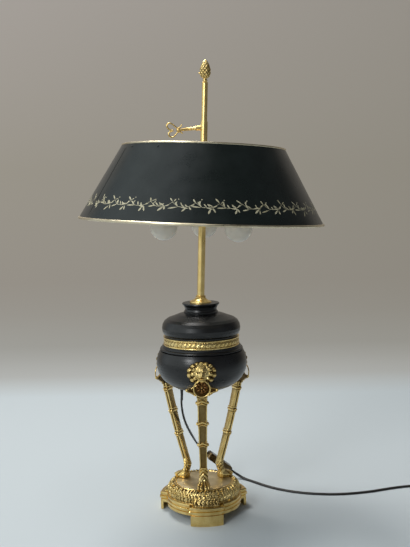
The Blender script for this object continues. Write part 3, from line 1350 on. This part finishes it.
# %% Stage
STAGE_LONG = 5.0
BEND_START = 0.8
LIT_STOPS = [(0.0, (0.58, 0.63, 0.65)), (0.05, (0.25, 0.25, 0.25)), (0.15, (0.05, 0.05, 0.05))]
OWN_STOPS = [(0.0, (0, 0, 0)), (0.05, (0.20, 0.205, 0.19)), (0.15, (0.31, 0.305, 0.28)),
             (0.41, (0.28, 0.255, 0.22)), (0.664, (0.30, 0.275, 0.23)), (0.9, (0.36, 0.33, 0.30))]
RIGHT_TONE = (0.20, 0.185, 0.15)


def stage_colours(finish):
    """How far a point lies behind the lamp along the sheet, up to 5 m, sets both colours: the
    one that lamps light, and the sheet's own, which is darker towards the right."""
    height = finish.node("ShaderNodeSeparateXYZ", {0: finish.place()}, output="Z")
    far = finish.spread((height.beside("Y") - BEND_START).larger(0.0) + height, 0.0, STAGE_LONG)
    lit = finish.node("ShaderNodeValToRGB", {0: far}, stops=LIT_STOPS)
    own = finish.node("ShaderNodeValToRGB", {0: far}, stops=OWN_STOPS)
    rightwards = finish.spread(height.beside("X"), -1.5, 1.5, 0, 0.55)
    own = finish.mix(finish.spread(far, 0.0, 0.1) * rightwards, own, RIGHT_TONE)
    seen = finish.node("ShaderNodeLightPath", output="Is Camera Ray")
    mirrored = seen.beside("Is Glossy Ray") + seen.beside("Is Transmission Ray")
    return lit, finish.mix((seen + mirrored).clipped(), (0, 0, 0), own)


def stage_sheet(width=9000, back=3600, front=-4200, bend=1400, top=4200):
    """Profile of a flat table, a quarter turn and an upright wall, drawn out sideways."""
    quarter = np.linspace(0, math.pi / 2, 33)[:, None]
    y = np.concatenate([[[front]], back - bend + bend * np.sin(quarter), [[back]]])
    z = np.concatenate([[[0]], bend - bend * np.cos(quarter), [[top]]])
    return grid([-width / 2, width / 2], y, z)


stage_finish = Finish(bpy.data.materials.new("stage"), Roughness=0.9, Specular_IOR_Level=0.1,
                      Emission_Strength=1.0)
lit_colour, own_colour = stage_colours(stage_finish)
stage_finish.feed(Base_Color=lit_colour, Emission_Color=own_colour)
stage_points = stage_sheet()
stage_mesh = bpy.data.meshes.new("stage")
stage_faces = grid_faces(*stage_points.shape[:2], False, False)
stage_mesh.from_pydata((stage_points * MM).reshape(-1, 3).tolist(), [], stage_faces.tolist())
stage_mesh.materials.append(stage_finish.material)
stage_mesh.polygons.foreach_set("use_smooth", [True] * len(stage_mesh.polygons))
stage = bpy.data.objects.new("stage", stage_mesh)
bpy.context.scene.collection.objects.link(stage)
print("stage", len(stage_mesh.polygons), "faces")

# %% [markdown]
# Gilt metal is only as good as what it mirrors. A large soft lamp stands high on the left, a
# little behind, so that the shade throws its shadow forwards and to the right, and the legs
# mirror a dim table. Weaker lamps from the front and from above draw small highlights. The
# room is bright high on the left, like a window, less bright low on the left, and weakly lit
# from the right. Where the camera looks past the stage it sees an even grey instead.


# %% Lights
def soft_lamp(name, at, aim_z, size, watts, colour=(1, 1, 1)):
    """A rectangular area light at a point, turned towards a height on the z axis."""
    light = bpy.data.lights.new(name, "AREA")
    light.shape = "RECTANGLE"
    light.size, light.size_y = size[0] * MM, size[1] * MM
    light.energy = watts
    light.color = colour
    lamp = bpy.data.objects.new(name, light)
    lamp.matrix_world = Place(at, np.subtract(at, (0, 0, aim_z)), (1, 0, 0.001)).matrix()
    bpy.context.scene.collection.objects.link(lamp)


room = Finish(bpy.data.worlds.new("room"), "Background", Strength=1.0)
direction = room.node("ShaderNodeTexCoord", output="Generated")
high_left, low_left, right_side = (
    room.node("ShaderNodeVectorMath", {0: direction, 1: side}, "Value", operation="DOT_PRODUCT")
    for side in ((-0.9, -0.35, 0.25), (-0.8, -0.6, 0.05), (0.85, -0.5, 0.1))
)
facing = high_left.larger(low_left - 0.05).larger(right_side * 0.46)
ROOM_STOPS = [(0.0, (0.06, 0.055, 0.05)), (0.45, (0.07, 0.065, 0.06)), (0.62, (0.11, 0.115, 0.12)),
              (0.76, (0.36, 0.40, 0.44)), (0.9, (0.90, 0.98, 1.0))]
CAMERA_GREY = (0.34, 0.31, 0.28)
room_colour = room.node("ShaderNodeValToRGB", {0: room.spread(facing, -0.6, 1.0)}, stops=ROOM_STOPS)
seen = room.node("ShaderNodeLightPath", output="Is Camera Ray")
bpy.context.scene.world = room.feed(Color=room.mix(seen, room_colour, CAMERA_GREY))
soft_lamp("key", (-600, 900, 2400), 300, (800, 800), 40, (1.0, 0.985, 0.96))
soft_lamp("front", (-1100, -1700, 1300), 350, (600, 900), 14, (0.97, 0.98, 1.0))
soft_lamp("top", (-200, -300, 2300), 300, (900, 700), 6)
bpy.context.scene.view_settings.view_transform = "Standard"
print("three lamps and a dim room")
